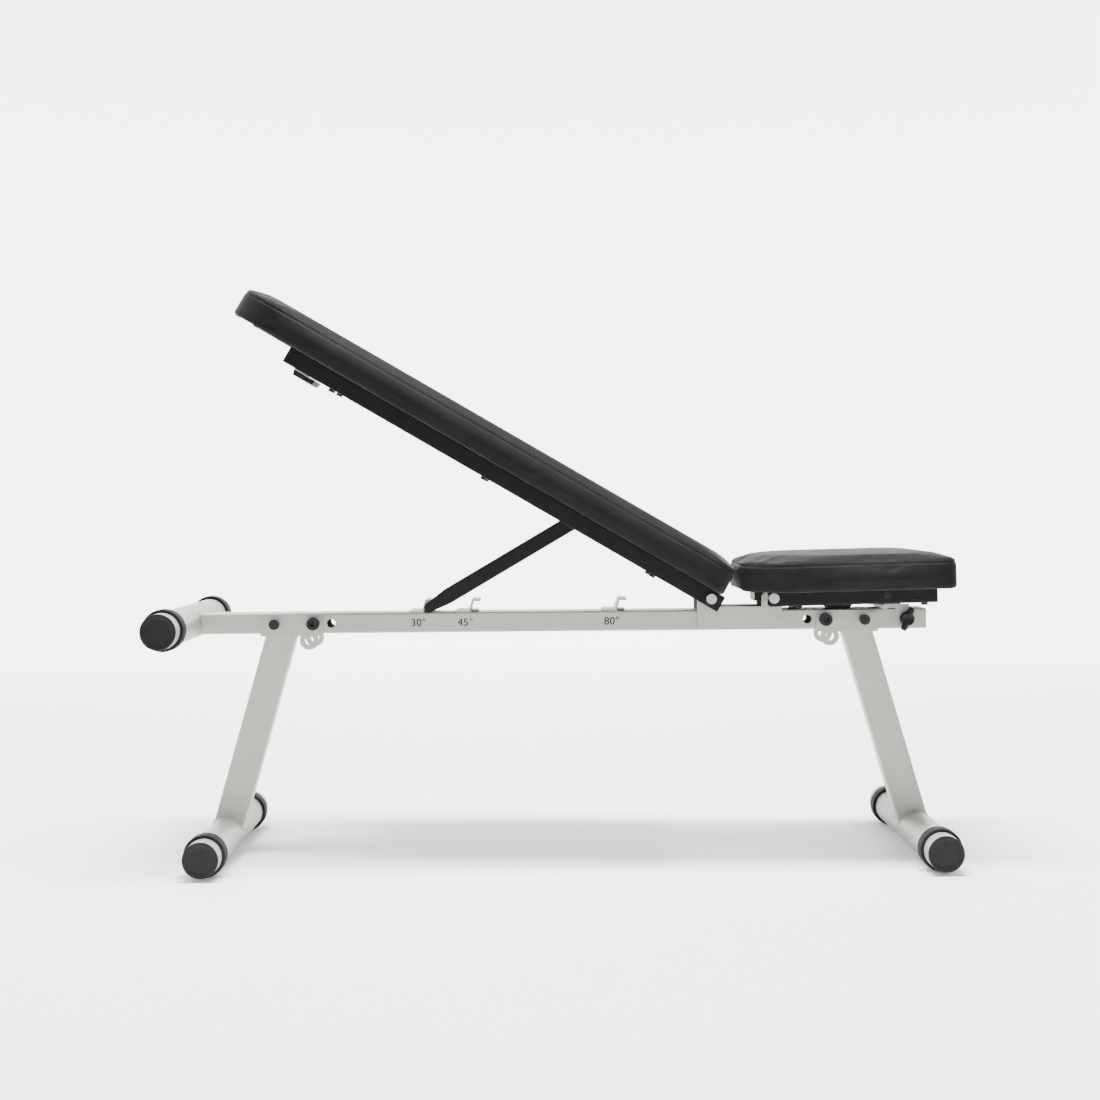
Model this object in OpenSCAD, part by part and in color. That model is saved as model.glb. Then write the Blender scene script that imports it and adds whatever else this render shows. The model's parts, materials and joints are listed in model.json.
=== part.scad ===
// Folding incline bench: a flat beam on two folding legs, a reclining backrest held by a
// strut that drops into one of three hooks, and a seat with a small cam under its rear end.
// +X runs from the head end to the seat end, -Y is the side with the scale and the knobs.

/* [Beam] */
// Height of the beam's underside above the floor
beam_z = 330; // [325:1:335]
// Width of the beam tube, across the bench
beam_w = 50; // [50:1:50]
// Height of the beam tube
beam_h = 30; // [28:1:30]
// Wall of the beam tube
beam_wall = 2; // [1.5:0.1:3]
// Seat end of the beam
beam_end_x = 560; // [556:1:570]
// Axis of the cross tube at the head end, along the bench
stand_x = -547; // [-550:1:-540]
// Axis of the cross tube at the head end, above the floor
stand_z = 347; // [345:1:349]

/* [Feet] */
// Outer diameter of the foot tubes and the stand tube
foot_d = 50.8; // [48:0.1:52]
// Length of a foot tube without its caps
foot_len = 360; // [340:1:400]
// Wall of the foot tubes
foot_wall = 1.8; // [1.5:0.1:2.5]
// Outer diameter of the rubber rings
ring_d = 60; // [58:1:60]
// Width of a rubber ring
ring_w = 20; // [15:1:25]
// Distance from the tube's end to the ring
ring_inset = 22; // [15:1:30]

/* [Legs] */
// Fold pivot of the front leg, along the bench
front_pivot_x = -355; // [-356:1:-354]
// Fold pivot of the rear leg, along the bench
rear_pivot_x = 408.5; // [408:0.5:409]
// Angle through which a leg folds under the beam
fold_angle = 104.5; // [103:0.5:105]
// Foot axis, outboard of the fold pivot
foot_out = 136; // [134:0.5:137]
// Leg tube where it meets its bracket, outboard of the fold pivot
leg_top_out = 51; // [50:1:53]
// Long side of the leg tube
leg_w = 45; // [42:1:46]
// Short side of the leg tube, across the bench
leg_t = 25; // [22:1:30]
// Sheet thickness of brackets and hinge plates
sheet = 3; // [3:0.1:3]
// Diameter of the lock pin holes and the fold-lock eyes
eye_d = 13; // [12.6:0.1:14]
// Distance from the fold pivot to the fold-lock eye
eye_r = 26; // [25.5:0.5:27]
// Distance from the fold pivot to the lock pin
lock_out = 56.3; // [55:0.1:57]

/* [Backrest] */
// Hinge of the backrest, along the bench
back_hinge_x = 236; // [235:1:237]
// Height of the backrest and seat hinges
hinge_z = 378.5; // [378:0.5:379]
// Angle of the backrest as stored, from horizontal
back_angle = 30.5; // [30.5:0.5:30.5]
// Side of the square rail tubes
rail = 25; // [25:1:25]
// Lower end of the backrest rails, from the hinge
back_rail_start = -17; // [-18:1:-15]
// Head end of the backrest rails, from the hinge
back_rail_len = 723; // [700:1:740]
// Head end of the backrest pad, from the hinge
back_pad_len = 810; // [790:1:815]
// Width of both pads
pad_w = 266; // [250:1:280]
// Thickness of the backrest pad
back_pad_t = 37; // [30:1:37]
// Distance from the backrest hinge to the strut's pivot
strut_r = 230.5; // [230.5:0.5:230.5]
// Length of the strut, pivot to foot bar
strut_len = 254.7; // [254.7:0.1:254.7]
// Width of a strut arm
strut_w = 22; // [20:1:22]
// Width of a strut arm at the foot bar
strut_foot_w = 14; // [12:1:16]
// Diameter of the strut's foot bar
foot_bar_d = 8; // [7:0.5:8]

/* [Seat] */
// Hinge of the seat, along the bench
seat_hinge_x = 328; // [327:1:329]
// Nose-up angle of the seat as stored
seat_angle = 1.1; // [1.1:0.1:1.1]
// Front end of the seat pad, from the seat hinge
seat_pad_front = -39; // [-40:1:-38]
// Rear end of the seat pad, along the bench
seat_end_x = 577; // [570:1:580]
// Thickness of the seat pad
seat_pad_t = 40; // [36:1:42]
// Wing knob and cam axis, along the bench
knob_x = 529; // [528:1:530]

/* [Hidden] */
$fn = 64;

frame_grey = [0.69, 0.70, 0.67];
satin_black = [0.13, 0.13, 0.13];
soft_black = [0.17, 0.17, 0.17];
rubber_black = [0.08, 0.08, 0.08];
zinc = [0.75, 0.75, 0.72];
plywood = [0.45, 0.34, 0.22];

gap = 0.3;                             // clearance between parts that move past each other
fit = 0.05;                            // radial clearance of a running fit
beam_top = beam_z + beam_h;
half_w = beam_w / 2;
foot_z = ring_d / 2;                   // the rings stand on the floor
pivot_z = beam_z + 15;                 // fold pivots, lock pins and the cam axis
bolt_d = 10;                           // pivot and hinge bolts
bracket_in = half_w + gap;             // inner face of a leg bracket
bracket_out = bracket_in + sheet;
plate_out = half_w + sheet;            // outer face of a hinge plate
rail_in = plate_out + 0.4;             // inner face of a rail
rail_out = rail_in + rail;
rail_mid = rail_in + rail / 2;
tab_t = 2.2;                           // cross plates between rails and boards
pad_base = rail / 2 + tab_t;           // underside of boards and pads, from the rail centreline
board_t = 12;
board_inset = 9;                       // edge of a board, inside the edge of its pad
back_r0 = 28;                          // pad corner radii: 0 at the hinge end, 1 at the far end
back_r1 = 60;
seat_r0 = 85;
seat_r1 = 18;
back_pad_start = -5;                   // lower end of the backrest pad, from the hinge
back_tabs = [60, 380, 690];            // cross plates and screws along the rails
back_screws = [92, 380, 640];
seat_rail_start = -5;
seat_rail_end = 242;
seat_pad_end = (seat_end_x - seat_hinge_x) / cos(seat_angle) + pad_base * sin(seat_angle);
seat_tabs = [60, 225];
seat_screw_x = [39, 225];
rail_wall = 1.5;
plate_len = 40;                        // cross plate along the rails
hook_w = beam_w - 1;
hook_h = 19;
arm_t = 2.8;                           // strut arm thickness
strut_taper = 30;                      // length over which an arm narrows to its foot
hinge_bolt_head = 15;
pivot_bolt_head = 19;
lock_d = 12;                           // lock pin shank and head
lock_head_d = 15.5;
lock_reach = 9;                        // shank outside the bracket
riser_w = 30;                          // hinge plate risers that carry the two hinges
notch = 5;                             // their chamfered corners
bracket_r = 13.5;                      // leg bracket round its pivot, lock pin and eye
bracket_lock_r = 16;
bracket_eye_r = 14;
bracket_len = 79;
bracket_base_in = 24.4;                // inboard end of the bracket's base
cap_t = 3;                             // cap outside the tube, and its plug inside
cap_plug = 18;
strap_x = 676;                         // strap and rubber rest under the backrest rails
strap_w = 26;
strap_t = 2;
back_rest_h = 8;
seat_rest_h = 9.5;                     // rubber rests under the seat
cam_r = 15.5;                          // cam under the seat: hub, reach and bearing rod
cam_reach = 36;
cam_rod_d = 8;
cam_rod_z = 19.7;
knob_hub_d = 21;
wing_angle = 68;
bar_z = beam_top + sheet + gap + foot_bar_d / 2 - 0.05;
fold_eye = 360 - fold_angle;           // direction of the eye, so that it folds onto the beam's hole
leg_top_z = beam_z - gap - sheet;      // underside of the bracket's base

strut_slope = asin((hinge_z + strut_r * sin(back_angle) - bar_z) / strut_len);

// Foot bar position that holds the backrest at a given angle
function bar_x(a) = back_hinge_x - strut_r * cos(a)
    - sqrt(pow(strut_len, 2) - pow(hinge_z + strut_r * sin(a) - bar_z, 2));

// ---- shared shapes ----

// Rectangle with round corners, centred
module round_rect(w, h, r) {
    square([w - 2 * r, h], center = true);
    square([w, h - 2 * r], center = true);
    for (x = [-1, 1], y = [-1, 1])
        translate([x * (w / 2 - r), y * (h / 2 - r)]) circle(r);
}

// Rectangular tube along +X, centred on the X axis
module box_tube(l, w, h, wall, r) {
    rotate([90, 0, 90]) linear_extrude(l) difference() {
        round_rect(w, h, r);
        round_rect(w - 2 * wall, h - 2 * wall, max(r - wall, 0.5));
    }
}

// Cylinder along Y between two Y values
module rod_y(d, y0, y1) {
    translate([0, y1, 0]) rotate([90, 0, 0]) cylinder(d = d, h = y1 - y0);
}

// Outline drawn in X and Z, given thickness along Y from y0 to y1
module plate_y(y0, y1) {
    translate([0, y1, 0]) rotate([90, 0, 0]) linear_extrude(y1 - y0) children();
}

// The same plate on both sides of the bench
module plate_pair(y0, y1) {
    plate_y(-y1, -y0) children();
    plate_y(y0, y1) children();
}

// Hexagon nut or bolt head along Y
module hex_y(flats, y0, y1) {
    translate([0, y1, 0]) rotate([90, 0, 0])
        cylinder(d = flats / cos(30), h = y1 - y0, $fn = 6);
}

// Bolt across the bench with a round head on the -Y side, a washer and a nut on the +Y side
module cross_bolt(d, head_d, head_h, y_face, socket) {
    difference() {
        union() {
            rod_y(d, -y_face, y_face + 9);
            rod_y(head_d, -y_face - head_h, -y_face);
        }
        if (socket > 0) hex_y(socket, -y_face - head_h - 1, -y_face - head_h + 4.5);
    }
    difference() {
        union() {
            rod_y(d + 11, y_face, y_face + 1.6);
            hex_y(d + 7, y_face + 1.6, y_face + 8.2);
        }
        rod_y(d + 2 * fit, y_face - 1, y_face + 20);
    }
}

// Outline of a pad or a board: round corners of one radius at each end
module pad_outline(x0, x1, w, r0, r1) {
    translate([x0 + r0, -w / 2]) square([x1 - x0 - r0 - r1, w]);
    translate([x0, -w / 2 + r0]) square([r0 + 1, w - 2 * r0]);
    translate([x1 - r1 - 1, -w / 2 + r1]) square([r1 + 1, w - 2 * r1]);
    for (y = [-1, 1]) {
        translate([x0 + r0, y * (w / 2 - r0)]) circle(r0);
        translate([x1 - r1, y * (w / 2 - r1)]) circle(r1);
    }
}

// ---- places ----

// Leg frame: origin at the fold pivot, +X outboard; the rear leg is the front one mirrored
module at_front_leg() {
    translate([front_pivot_x, 0, pivot_z]) mirror([1, 0, 0]) children();
}
module at_rear_leg() {
    translate([rear_pivot_x, 0, pivot_z]) children();
}
// Backrest frame: origin at its hinge, +X along the rails to the head end, +Z to the pad
module at_backrest() {
    translate([back_hinge_x, 0, hinge_z]) rotate([0, -back_angle, 180]) children();
}
// Seat frame: origin at its hinge, +X along the rails to the free end, +Z to the pad
module at_seat() {
    translate([seat_hinge_x, 0, hinge_z]) rotate([0, -seat_angle, 0]) children();
}
// Strut frame: origin at its pivot on the rails, +X along the arms to the foot bar
module at_strut() {
    at_backrest() translate([strut_r, 0, 0])
        rotate([0, 180 + back_angle + strut_slope, 0]) mirror([1, 0, 0]) children();
}
module at_knob() {
    translate([knob_x, 0, pivot_z]) children();
}

// ---- frame ----

module main_beam() {
    color(frame_grey) difference() {
        translate([stand_x + 10, 0, beam_z + beam_h / 2])
            box_tube(beam_end_x - stand_x - 10, beam_w, beam_h, beam_wall, 3);
        translate([stand_x, 0, stand_z]) rod_y(foot_d, -beam_w, beam_w);
        for (p = [front_pivot_x, rear_pivot_x])
            translate([p, 0, pivot_z]) rod_y(bolt_d + 2 * fit, -beam_w, beam_w);
        for (p = [front_pivot_x - lock_out, front_pivot_x + eye_r,
                  rear_pivot_x + lock_out, rear_pivot_x - eye_r])
            translate([p, 0, pivot_z]) rod_y(eye_d, -beam_w, beam_w);
        at_knob() rod_y(bolt_d + 2 * fit, -beam_w, beam_w);
    }
}

module beam_end_plug() {
    inner_w = beam_w - 2 * beam_wall;
    inner_h = beam_h - 2 * beam_wall;
    color(frame_grey) difference() {
        translate([beam_end_x - 15, 0, beam_z + beam_h / 2])
            rotate([90, 0, 90]) linear_extrude(14) round_rect(inner_w, inner_h, 1);
        translate([beam_end_x - 20, 0, beam_z + beam_h / 2])
            rotate([90, 0, 90]) linear_extrude(16) round_rect(inner_w - 5, inner_h - 5, 1);
    }
}

// Round tube across the bench with its rings and caps, shared by the feet and the stand tube
module cross_tube() {
    color(frame_grey) difference() {
        rod_y(foot_d, -foot_len / 2, foot_len / 2);
        rod_y(foot_d - 2 * foot_wall, -foot_len, foot_len);
    }
}
module cross_tube_rings() {
    y0 = foot_len / 2 - ring_inset - ring_w;
    color(rubber_black) for (s = [-1, 1]) difference() {
        translate([0, s * (y0 + ring_w / 2), 0]) rod_y(ring_d, -ring_w / 2, ring_w / 2);
        translate([0, s * (y0 + ring_w / 2), 0]) rod_y(foot_d, -ring_w, ring_w);
    }
}
module cross_tube_caps() {
    inner_d = foot_d - 2 * foot_wall;
    color(satin_black) for (s = [0, 180]) rotate([0, 0, s]) difference() {
        union() {
            rod_y(foot_d, foot_len / 2, foot_len / 2 + cap_t);
            rod_y(inner_d, foot_len / 2 - cap_plug, foot_len / 2 + 1);
        }
        rod_y(inner_d - 5, foot_len / 2 - cap_plug - 1, foot_len / 2);
    }
}
module stand_tube() {
    translate([stand_x, 0, stand_z]) cross_tube();
}
module stand_tube_rings() {
    translate([stand_x, 0, stand_z]) cross_tube_rings();
}
module stand_tube_caps() {
    translate([stand_x, 0, stand_z]) cross_tube_caps();
}

// Side plates welded to the beam, with a riser for each hinge
module hinge_plates() {
    left = back_hinge_x - 18;
    right = seat_hinge_x + 16;
    low_top = beam_top + 5;
    riser_top = hinge_z + 7;
    color(frame_grey) difference() {
        plate_pair(half_w, plate_out) difference() {
            union() {
                translate([left, beam_z + 2]) square([right - left - 8, low_top - beam_z - 2]);
                translate([right - 12, beam_z + 12]) square([12, low_top - beam_z - 12]);
                translate([right - 10, beam_z + 12]) circle(10);
                for (x = [left, right - riser_w])
                    translate([x, low_top - 1]) square([riser_w, riser_top - low_top + 1]);
            }
            for (x = [left, left + riser_w, right - riser_w, right])
                translate([x, riser_top]) circle(r = notch, $fn = 4);
        }
        for (x = [back_hinge_x, seat_hinge_x])
            translate([x, 0, hinge_z]) rod_y(bolt_d + 2 * fit, -beam_w, beam_w);
    }
}

// Bent sheet hook on the beam: base, sloping riser and a tip over the foot bar
module hook(angle) {
    color(frame_grey) translate([bar_x(angle), 0, beam_top])
        plate_y(-hook_w / 2, hook_w / 2)
            polygon([[-29, 0], [-8.2, 0], [-3.4, hook_h - sheet], [6.5, hook_h - sheet],
                     [6.5, hook_h], [-5.6, hook_h], [-10.4, sheet], [-29, sheet]]);
    color(frame_grey) translate([bar_x(angle), 0, beam_top])
        plate_y(-15, 15) translate([-8, 0]) square([12, sheet]);
}
module hook_30() {
    hook(back_angle);
}
module hook_45() {
    hook(45);
}
module hook_80() {
    hook(80);
}

// Bolt through both rails and both plates, with a spacer sleeve between the plates
module hinge_bolt(x) {
    translate([x, 0, hinge_z]) {
        cross_bolt(bolt_d, hinge_bolt_head, 5.5, rail_out + gap, 0);
        difference() {
            rod_y(18, -half_w, half_w);
            rod_y(bolt_d + 2 * fit, -beam_w, beam_w);
        }
    }
}
module backrest_hinge_bolt() {
    color(zinc) hinge_bolt(back_hinge_x);
}
module seat_hinge_bolt() {
    color(zinc) hinge_bolt(seat_hinge_x);
}

// ---- folding legs, in the leg frame ----

module leg_tube() {
    top = [leg_top_out, leg_top_z - pivot_z];
    foot = [foot_out, foot_z - pivot_z];
    run = norm(foot - top);
    tilt = atan2(foot[0] - top[0], top[1] - foot[1]);
    color(frame_grey) difference() {
        translate([foot_out, 0, foot_z - pivot_z]) rotate([0, -90 - tilt, 0])
            mirror([0, 0, 1]) box_tube_x(run + 20);
        translate([-200, -100, leg_top_z - pivot_z]) cube([400, 200, 100]);
        translate([foot_out, 0, foot_z - pivot_z]) rod_y(foot_d, -100, 100);
    }
}
module box_tube_x(l) {
    box_tube(l, leg_t, leg_w, rail_wall, 3);
}

// Plates on both sides of the beam joined by a base under it, each with a hanging eye
module leg_bracket() {
    eye = [-eye_r * cos(fold_eye), eye_r * sin(fold_eye)];
    drop = pivot_z - leg_top_z;
    color(frame_grey) difference() {
        union() {
            plate_pair(bracket_in, bracket_out) {
                circle(bracket_r);
                translate([-bracket_r, -drop]) square([bracket_len + bracket_r, drop]);
                translate([0, -1]) square([bracket_len - bracket_lock_r, bracket_r + 1]);
                translate([bracket_len - bracket_lock_r, -3]) circle(bracket_lock_r);
                translate(eye) circle(bracket_eye_r);
            }
            translate([bracket_base_in, -bracket_in, -drop])
                cube([bracket_len - bracket_base_in, 2 * bracket_in, sheet]);
        }
        rod_y(bolt_d + 2 * fit, -beam_w, beam_w);
        translate([eye[0], 0, eye[1]]) rod_y(eye_d, -beam_w, beam_w);
        translate([lock_out, 0, 0]) rod_y(lock_d + 2 * fit, -beam_w, beam_w);
    }
}
module leg_foot_place() {
    translate([foot_out, 0, foot_z - pivot_z]) children();
}
module leg_pivot_bolt() {
    color(rubber_black) cross_bolt(bolt_d, pivot_bolt_head, 8, bracket_out, 8);
}
// Push-in plunger: stands clear of the beam's wall and slides into its hole
module leg_lock_pin() {
    color(rubber_black) translate([lock_out, 0, 0]) {
        rod_y(lock_d, -bracket_out - lock_reach, -half_w - gap);
        rod_y(lock_head_d, -bracket_out - lock_reach - 6, -bracket_out - lock_reach);
    }
}

module front_leg_tube() {
    at_front_leg() leg_tube();
}
module front_leg_bracket() {
    at_front_leg() leg_bracket();
}
module front_foot_tube() {
    at_front_leg() leg_foot_place() cross_tube();
}
module front_foot_rings() {
    at_front_leg() leg_foot_place() cross_tube_rings();
}
module front_foot_caps() {
    at_front_leg() leg_foot_place() cross_tube_caps();
}
module front_pivot_bolt() {
    at_front_leg() leg_pivot_bolt();
}
module front_lock_pin() {
    at_front_leg() leg_lock_pin();
}
module rear_leg_tube() {
    at_rear_leg() leg_tube();
}
module rear_leg_bracket() {
    at_rear_leg() leg_bracket();
}
module rear_foot_tube() {
    at_rear_leg() leg_foot_place() cross_tube();
}
module rear_foot_rings() {
    at_rear_leg() leg_foot_place() cross_tube_rings();
}
module rear_foot_caps() {
    at_rear_leg() leg_foot_place() cross_tube_caps();
}
module rear_pivot_bolt() {
    at_rear_leg() leg_pivot_bolt();
}
module rear_lock_pin() {
    at_rear_leg() leg_lock_pin();
}

// ---- rails, boards and pads, shared by backrest and seat ----

module rails(x0, x1, holes) {
    color(satin_black) difference() {
        for (s = [-1, 1]) translate([x0, s * rail_mid, 0]) box_tube(x1 - x0, rail, rail, rail_wall, 2.5);
        for (x = holes) translate([x, 0, 0]) rod_y(bolt_d + 2 * fit, -100, 100);
    }
}
module cross_plates(places) {
    color(satin_black) for (x = places)
        translate([x - plate_len / 2, -rail_out, rail / 2])
            cube([plate_len, 2 * rail_out, tab_t]);
}
module board(x0, x1, r0, r1) {
    color(plywood) translate([0, 0, pad_base]) linear_extrude(board_t)
        pad_outline(x0 + board_inset, x1 - board_inset, pad_w - 2 * board_inset,
                    r0 - board_inset, r1 - board_inset);
}
module pad(x0, x1, t, r0, r1) {
    color(soft_black) translate([0, 0, pad_base]) difference() {
        linear_extrude(t) pad_outline(x0, x1, pad_w, r0, r1);
        translate([0, 0, -1]) linear_extrude(board_t + 1)
            pad_outline(x0 + board_inset, x1 - board_inset, pad_w - 2 * board_inset,
                        r0 - board_inset, r1 - board_inset);
    }
}
// Screw heads under the rails, in pairs
module pad_screws(places) {
    color(rubber_black) for (x = places, s = [-1, 1])
        translate([x, s * rail_mid, -rail / 2 - 4]) cylinder(d = 10, h = 4, $fn = 24);
}

module backrest_rails() {
    at_backrest() rails(back_rail_start, back_rail_len, [0, strut_r]);
}
module backrest_cross_plates() {
    at_backrest() cross_plates(back_tabs);
}
module backrest_board() {
    at_backrest() board(back_pad_start, back_pad_len, back_r0, back_r1);
}
module backrest_pad() {
    at_backrest() pad(back_pad_start, back_pad_len, back_pad_t, back_r0, back_r1);
}
module backrest_screws() {
    at_backrest() pad_screws(back_screws);
}
// Strap under the rails that carries the rubber rest for the flat position
module bumper_strap() {
    color(zinc) at_backrest() translate([strap_x, -rail_out, -rail / 2 - strap_t])
        cube([strap_w, 2 * rail_out, strap_t]);
}
module backrest_bumper() {
    over = strap_w + 10;
    color(rubber_black) at_backrest() translate([strap_x - 5, 0, -rail / 2 - strap_t])
        plate_y(-rail_in, rail_in)
            polygon([[0, 0], [over, 0], [over - 2, -back_rest_h], [2, -back_rest_h]]);
}
module strut_pivot_bolt() {
    color(satin_black) at_backrest() translate([strut_r, 0, 0])
        rod_y(bolt_d, -rail_out - 0.5, rail_out + 0.5);
}

// ---- strut ----

module strut_arms() {
    color(satin_black) at_strut() difference() {
        plate_pair(bracket_in, bracket_in + arm_t) {
            circle(d = strut_w);
            translate([0, -strut_w / 2]) square([strut_len - strut_taper, strut_w]);
            polygon([[strut_len - strut_taper, -strut_w / 2], [strut_len, -strut_foot_w / 2],
                     [strut_len, strut_foot_w / 2], [strut_len - strut_taper, strut_w / 2]]);
            translate([strut_len, 0]) circle(d = strut_foot_w);
        }
        rod_y(bolt_d + 2 * fit, -beam_w, beam_w);
    }
}
module strut_foot_bar() {
    color(satin_black) at_strut() translate([strut_len, 0, 0])
        rod_y(foot_bar_d, -bracket_in, bracket_in);
}

// ---- seat ----

module seat_rails() {
    at_seat() rails(seat_rail_start, seat_rail_end, [0]);
}
module seat_cross_plates() {
    at_seat() cross_plates(seat_tabs);
}
module seat_board() {
    at_seat() board(seat_pad_front, seat_pad_end, seat_r0, seat_r1);
}
module seat_pad() {
    at_seat() pad(seat_pad_front, seat_pad_end, seat_pad_t, seat_r0, seat_r1);
}
module seat_front_bar() {
    color(satin_black) at_seat() translate([-24, -24, -5]) cube([12, 48, pad_base + 5]);
}
module seat_screws() {
    at_seat() pad_screws(seat_screw_x);
}
// Rubber rests that hang between the rails and meet the beam
module seat_bumpers() {
    half = half_w - 3;
    color(rubber_black) translate([0, 0, beam_top + gap])
        for (rest = [[362, 10, 0], [410, 43, 7]]) {
            plate_y(-half, half) translate([rest[0], 0])
                polygon([[0, seat_rest_h], [rest[1], seat_rest_h], [rest[1] - rest[2], 0], [rest[2], 0]]);
            translate([rest[0], -rail_in, seat_rest_h]) cube([rest[1], 2 * rail_in, 3]);
        }
}
module seat_side_bolt() {
    color(rubber_black) at_seat() translate([166.7, 0, 0]) for (s = [-1, 1])
        rod_y(12, s * (rail_out + 1.5) - 1.5, s * (rail_out + 1.5) + 1.5);
}

// ---- cam under the seat, and its wing knob ----

module seat_riser() {
    foot = beam_top - pivot_z + 1.2;
    color(frame_grey) at_knob() difference() {
        union() {
            plate_pair(bracket_in, rail_in - 0.2) {
                circle(cam_r);
                translate([-cam_r, 0]) square([cam_r + 5, beam_top - pivot_z + 7]);
                translate([-cam_reach, foot]) square([cam_reach + 5, beam_top - pivot_z + 7 - foot]);
            }
            translate([-cam_reach, -bracket_in, foot]) cube([cam_reach - 6, 2 * bracket_in, sheet]);
            translate([-cam_reach, 0, cam_rod_z]) rod_y(cam_rod_d, -rail_out + 3, rail_out - 3);
        }
        rod_y(bolt_d + 2 * fit, -beam_w, beam_w);
    }
}
module knob_stud() {
    color(zinc) at_knob() {
        rod_y(bolt_d, -rail_in - 6, rail_in + 11);
        hex_y(17, rail_in + gap, rail_in + 8);
    }
}
module wing_knob() {
    hub_y = -rail_in - gap;
    color(rubber_black) at_knob() difference() {
        union() {
            rod_y(knob_hub_d, hub_y - 12, hub_y);
            rotate([0, -wing_angle, 0]) plate_y(hub_y - 14, hub_y - 4) {
                translate([-14, -3.5]) square([28, 7]);
                for (s = [-1, 1]) translate([s * 13.5, 0]) circle(4.5);
            }
        }
        rod_y(bolt_d, hub_y - 6, hub_y + 1);
    }
}

main_beam();
beam_end_plug();
stand_tube();
stand_tube_rings();
stand_tube_caps();
hinge_plates();
hook_30();
hook_45();
hook_80();
backrest_hinge_bolt();
seat_hinge_bolt();
front_leg_tube();
front_leg_bracket();
front_foot_tube();
front_foot_rings();
front_foot_caps();
front_pivot_bolt();
front_lock_pin();
rear_leg_tube();
rear_leg_bracket();
rear_foot_tube();
rear_foot_rings();
rear_foot_caps();
rear_pivot_bolt();
rear_lock_pin();
backrest_rails();
backrest_cross_plates();
backrest_board();
backrest_pad();
backrest_screws();
bumper_strap();
backrest_bumper();
strut_pivot_bolt();
strut_arms();
strut_foot_bar();
seat_rails();
seat_cross_plates();
seat_front_bar();
seat_board();
seat_pad();
seat_screws();
seat_bumpers();
seat_side_bolt();
seat_riser();
knob_stud();
wing_knob();
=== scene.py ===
import json
import math
import random

import bmesh
import bpy
from mathutils import Matrix, Vector
from mathutils.bvhtree import BVHTree


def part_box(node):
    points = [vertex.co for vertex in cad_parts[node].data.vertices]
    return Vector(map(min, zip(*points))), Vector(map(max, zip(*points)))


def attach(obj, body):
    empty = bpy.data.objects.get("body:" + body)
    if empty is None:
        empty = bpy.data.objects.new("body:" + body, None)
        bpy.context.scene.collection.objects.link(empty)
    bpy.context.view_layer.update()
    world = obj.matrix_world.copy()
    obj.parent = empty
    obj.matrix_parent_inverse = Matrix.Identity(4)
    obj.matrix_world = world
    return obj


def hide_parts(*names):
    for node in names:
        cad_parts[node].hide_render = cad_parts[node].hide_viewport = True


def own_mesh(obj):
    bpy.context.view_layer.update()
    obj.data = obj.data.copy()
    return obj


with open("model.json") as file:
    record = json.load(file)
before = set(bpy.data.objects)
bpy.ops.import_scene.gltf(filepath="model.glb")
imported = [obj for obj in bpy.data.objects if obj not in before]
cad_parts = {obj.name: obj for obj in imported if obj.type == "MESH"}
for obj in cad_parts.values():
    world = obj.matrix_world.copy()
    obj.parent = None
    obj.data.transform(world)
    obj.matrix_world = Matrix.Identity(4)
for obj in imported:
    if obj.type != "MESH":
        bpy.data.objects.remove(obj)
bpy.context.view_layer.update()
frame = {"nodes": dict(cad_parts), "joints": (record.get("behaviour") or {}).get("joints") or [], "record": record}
NODES = frame["nodes"]
JOINTS = {j["name"]: j for j in frame["joints"]}
MM = 0.001


# ---------------------------------------------------------------- places from the frame

def joint_at(name):
    """A point on a joint's axis, at rest."""
    return Vector(JOINTS[name]["pos_m"])


def centre(node):
    """The middle of a CAD node's box."""
    low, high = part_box(node)
    return (Vector(low) + Vector(high)) / 2


BACK_ANGLE = math.radians(30.5)     # backrest above level, as stored
SEAT_ANGLE = math.radians(1.1)      # seat above level, as stored
BACKREST = (Matrix.Translation(joint_at("backrest_tilt")) @ Matrix.Rotation(math.pi, 4, "Z")
            @ Matrix.Rotation(-BACK_ANGLE, 4, "Y"))
SEAT = Matrix.Translation(joint_at("seat_tilt")) @ Matrix.Rotation(-SEAT_ANGLE, 4, "Y")
BEAM_LOW, BEAM_HIGH = (Vector(c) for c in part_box("main_beam"))
BEAM_HALF_W, BEAM_HALF_H = 25 * MM, 15 * MM
TUBE_R = 25.4 * MM                  # foot tubes and stand tube
BOARD_Z = 14.7 * MM                 # underside of a pad's board, above its hinge axis
PAD_BASE = 11 * MM                  # lowest point of a cushion, above its hinge axis
RAIL_OUT = 58 * MM                  # outer faces of the rails that carry a pad


# ---------------------------------------------------------------- camera, floor, light

CAMERA_AT = (-0.011, -2.2, 0.522)
CAMERA_LENS = 47.65
CAMERA_SHIFT = (0.0064, -0.0427)
CAMERA_ROLL = math.radians(0.5)
WORLD_LIGHT = 0.1
TOP_LIGHT = {"place": (-0.1, -0.26, 3.3), "target": (-0.1, 0.0, 0), "size": (2.2, 0.5),
             "power": 430}

PAPER_DROP = 0.5 * MM               # the paper lies this far below the feet
PAPER_TURNS = 96
FLAT_RADIUS, BEND_RADIUS, WALL_TOP = 3.2, 1.4, 7.0
FLOOR_GLOW, WALL_GLOW = 0.0, 2.9    # paper under the bench, and behind it
WALL_FROM, WALL_TO = 0.2, 3.9       # Y over which the floor's glow turns into the wall's
FRONT_GLOW, FRONT_SHADE, PAPER_SHADE = 0.15, 0.2, 0.9
GLOW_FROM, GLOW_TO = -4.2, -1.0     # Y over which the glow in front fades out
SHADE_FROM, SHADE_TO = -2.4, -0.9   # Y over which the darker paper in front turns pale


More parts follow.
